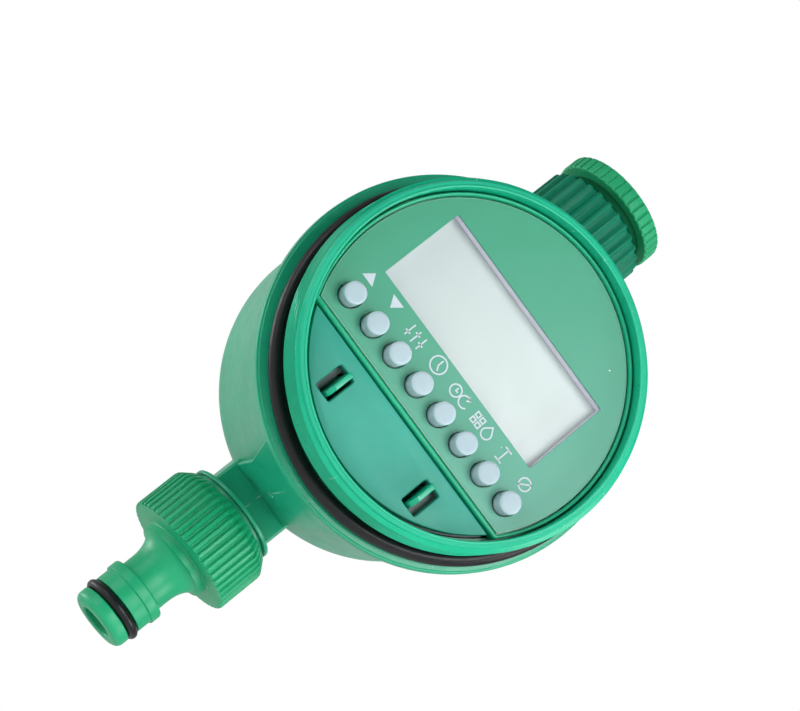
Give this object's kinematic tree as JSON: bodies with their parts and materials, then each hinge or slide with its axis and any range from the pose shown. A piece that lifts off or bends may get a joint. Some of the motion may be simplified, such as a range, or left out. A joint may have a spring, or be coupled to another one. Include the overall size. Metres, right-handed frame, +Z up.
{
  "type": "drip irrigation timer",
  "caption": "Round-faced tap timer for drip irrigation: a bowl housing with a display, a row of keys, a battery drawer, a threaded tap inlet and a quick-fit outlet",
  "frame": {"origin": "centre of the inlet adaptor's mouth, on the water pipe's axis", "axes": "+Z up the pipe towards the tap, the control face looks along -Y, +X to the face's right"},
  "size_m": [0.0932, 0.088, 0.1771],
  "materials": {
    "housing": "semi-gloss moulded green",
    "cover_seal": "black, slightly dusty",
    "control_panel": "semi-gloss moulded green",
    "panel_overlay": "matt printed film",
    "display_window": "clear",
    "lcd_frame": "pale grey",
    "lcd_glass": "pale grey-green, blank",
    "buttons": "pale blue-grey",
    "contact_mat": "grey silicone",
    "circuit_board": "green solder mask",
    "screws": "bright zinc",
    "drawer": "moulded green",
    "battery": "plain black label",
    "contacts": "nickel plated spring steel",
    "inner_grey": "grey moulded",
    "valve_plastic": "white acetal",
    "gears": "white acetal",
    "motor_metal": "plated steel",
    "black_rubber": "black",
    "lead_red": "red insulation",
    "lead_black": "black insulation",
    "outlet_connector": "ribbed green",
    "inlet_nut": "dark green, wide ribs",
    "inlet_adaptor": "yellowish green, fine ribs"
  },
  "bodies": {
    "housing_body": {"housing": "housing", "cover_seal": "cover_seal", "control_panel": "control_panel", "panel_overlay": "panel_overlay", "display_window": "display_window", "lcd_frame": "lcd_frame", "lcd_glass": "lcd_glass", "contact_mat": "contact_mat", "circuit_board": "circuit_board", "board_screw_1": "screws", "board_screw_2": "screws", "board_screw_3": "screws", "board_screw_4": "screws", "battery_sleeve": "inner_grey", "sleeve_contact": "contacts", "inlet_ball_seat": "valve_plastic", "outlet_ball_seat": "valve_plastic", "stem_seal": "black_rubber", "valve_bonnet": "inner_grey", "bonnet_screw_1": "screws", "bonnet_screw_2": "screws", "bonnet_screw_3": "screws", "bonnet_screw_4": "screws", "gearbox_rear_plate": "inner_grey", "gearbox_front_plate": "inner_grey", "gearbox_screw_1": "screws", "gearbox_screw_2": "screws", "motor_can": "motor_metal", "motor_lead_red": "lead_red", "motor_lead_black": "lead_black", "battery_lead_red": "lead_red", "battery_lead_black": "lead_black", "filter_washer": "black_rubber", "nut_retaining_ring": "contacts"},
    "key_up": {"button_up": "buttons"},
    "key_down": {"button_down": "buttons"},
    "key_set": {"button_set": "buttons"},
    "key_clock": {"button_clock": "buttons"},
    "key_adjust": {"button_adjust": "buttons"},
    "key_mode": {"button_mode": "buttons"},
    "key_on": {"button_on": "buttons"},
    "key_off": {"button_off": "buttons"},
    "drawer": {"battery_drawer": "drawer", "drawer_contact": "contacts", "battery_1": "battery", "battery_2": "battery"},
    "latch_left_arm": {"latch_left": "drawer"},
    "latch_right_arm": {"latch_right": "drawer"},
    "valve_rotor": {"valve_ball": "valve_plastic", "output_gear": "gears"},
    "middle_rotor": {"middle_gear": "gears"},
    "first_rotor": {"first_gear": "gears"},
    "motor_rotor": {"motor_pinion": "motor_metal"},
    "inlet_nut_body": {"inlet_nut": "inlet_nut"},
    "adaptor_slider": {"adaptor_washer": "black_rubber"},
    "adaptor": {"inlet_adaptor": "inlet_adaptor"},
    "outlet_slider": {"outlet_washer": "black_rubber"},
    "outlet_fitting": {"outlet_connector": "outlet_connector", "nipple_o_ring": "black_rubber"}
  },
  "joints": [
    {"name": "press_up", "type": "slide", "parent": "housing_body", "child": "key_up", "axis": [0, 1, 0], "range_m": [0, 0.001], "stiffness_N_per_m": 300, "springref_m": -0.001},
    {"name": "press_down", "type": "slide", "parent": "housing_body", "child": "key_down", "axis": [0, 1, 0], "range_m": [0, 0.001], "stiffness_N_per_m": 300, "springref_m": -0.001},
    {"name": "press_set", "type": "slide", "parent": "housing_body", "child": "key_set", "axis": [0, 1, 0], "range_m": [0, 0.001], "stiffness_N_per_m": 300, "springref_m": -0.001},
    {"name": "press_clock", "type": "slide", "parent": "housing_body", "child": "key_clock", "axis": [0, 1, 0], "range_m": [0, 0.001], "stiffness_N_per_m": 300, "springref_m": -0.001},
    {"name": "press_adjust", "type": "slide", "parent": "housing_body", "child": "key_adjust", "axis": [0, 1, 0], "range_m": [0, 0.001], "stiffness_N_per_m": 300, "springref_m": -0.001},
    {"name": "press_mode", "type": "slide", "parent": "housing_body", "child": "key_mode", "axis": [0, 1, 0], "range_m": [0, 0.001], "stiffness_N_per_m": 300, "springref_m": -0.001},
    {"name": "press_on", "type": "slide", "parent": "housing_body", "child": "key_on", "axis": [0, 1, 0], "range_m": [0, 0.001], "stiffness_N_per_m": 300, "springref_m": -0.001},
    {"name": "press_off", "type": "slide", "parent": "housing_body", "child": "key_off", "axis": [0, 1, 0], "range_m": [0, 0.001], "stiffness_N_per_m": 300, "springref_m": -0.001},
    {"name": "drawer_slide", "type": "slide", "parent": "housing_body", "child": "drawer", "axis": [0, -1, 0], "range_m": [0, 0.054]},
    {"name": "latch_left_squeeze", "type": "hinge", "parent": "drawer", "child": "latch_left_arm", "pos_m": [-0.01555, -0.0535, -0.1141], "axis": [0, 0, 1], "range_deg": [0, 3], "stiffness_Nm_per_rad": 0.1, "springref_deg": -1.15},
    {"name": "latch_right_squeeze", "type": "hinge", "parent": "drawer", "child": "latch_right_arm", "pos_m": [0.01555, -0.0535, -0.1141], "axis": [0, 0, -1], "range_deg": [0, 3], "stiffness_Nm_per_rad": 0.1, "springref_deg": -1.15},
    {"name": "valve_turn", "type": "hinge", "parent": "housing_body", "child": "valve_rotor", "pos_m": [0, 0, -0.0812], "axis": [0, 1, 0], "range_deg": [0, 90]},
    {"name": "middle_gear_turn", "type": "hinge", "parent": "housing_body", "child": "middle_rotor", "pos_m": [-0.01028, -0.03, -0.06894], "axis": [0, 1, 0], "range_deg": [-270, 0]},
    {"name": "first_gear_turn", "type": "hinge", "parent": "housing_body", "child": "first_rotor", "pos_m": [0.0025, -0.03, -0.06429], "axis": [0, 1, 0], "range_deg": [0, 648]},
    {"name": "motor_turn", "type": "hinge", "parent": "housing_body", "child": "motor_rotor", "pos_m": [0.0153, -0.03, -0.06429], "axis": [0, 1, 0], "range_deg": [-1944, 0]},
    {"name": "inlet_nut_spin", "type": "hinge", "parent": "housing_body", "child": "inlet_nut_body", "pos_m": [0, 0, -0.02], "axis": [0, 0, 1], "continuous": true},
    {"name": "adaptor_advance", "type": "slide", "parent": "inlet_nut_body", "child": "adaptor_slider", "axis": [0, 0, 1], "range_m": [0, 0.01]},
    {"name": "adaptor_unscrew", "type": "hinge", "parent": "adaptor_slider", "child": "adaptor", "pos_m": [0, 0, -0.01], "axis": [0, 0, 1], "range_deg": [0, 1980]},
    {"name": "outlet_advance", "type": "slide", "parent": "housing_body", "child": "outlet_slider", "axis": [0, 0, -1], "range_m": [0, 0.01]},
    {"name": "outlet_unscrew", "type": "hinge", "parent": "outlet_slider", "child": "outlet_fitting", "pos_m": [0, 0, -0.15], "axis": [0, 0, -1], "range_deg": [0, 1980]}
  ],
  "couplings": [
    {"joint": "middle_gear_turn", "follows": "valve_turn", "ratio": -3},
    {"joint": "first_gear_turn", "follows": "valve_turn", "ratio": 7.2},
    {"joint": "motor_turn", "follows": "valve_turn", "ratio": -21.6},
    {"joint": "adaptor_advance", "follows": "adaptor_unscrew", "m_per_rad": 0.00028871},
    {"joint": "outlet_advance", "follows": "outlet_unscrew", "m_per_rad": 0.00028871}
  ]
}
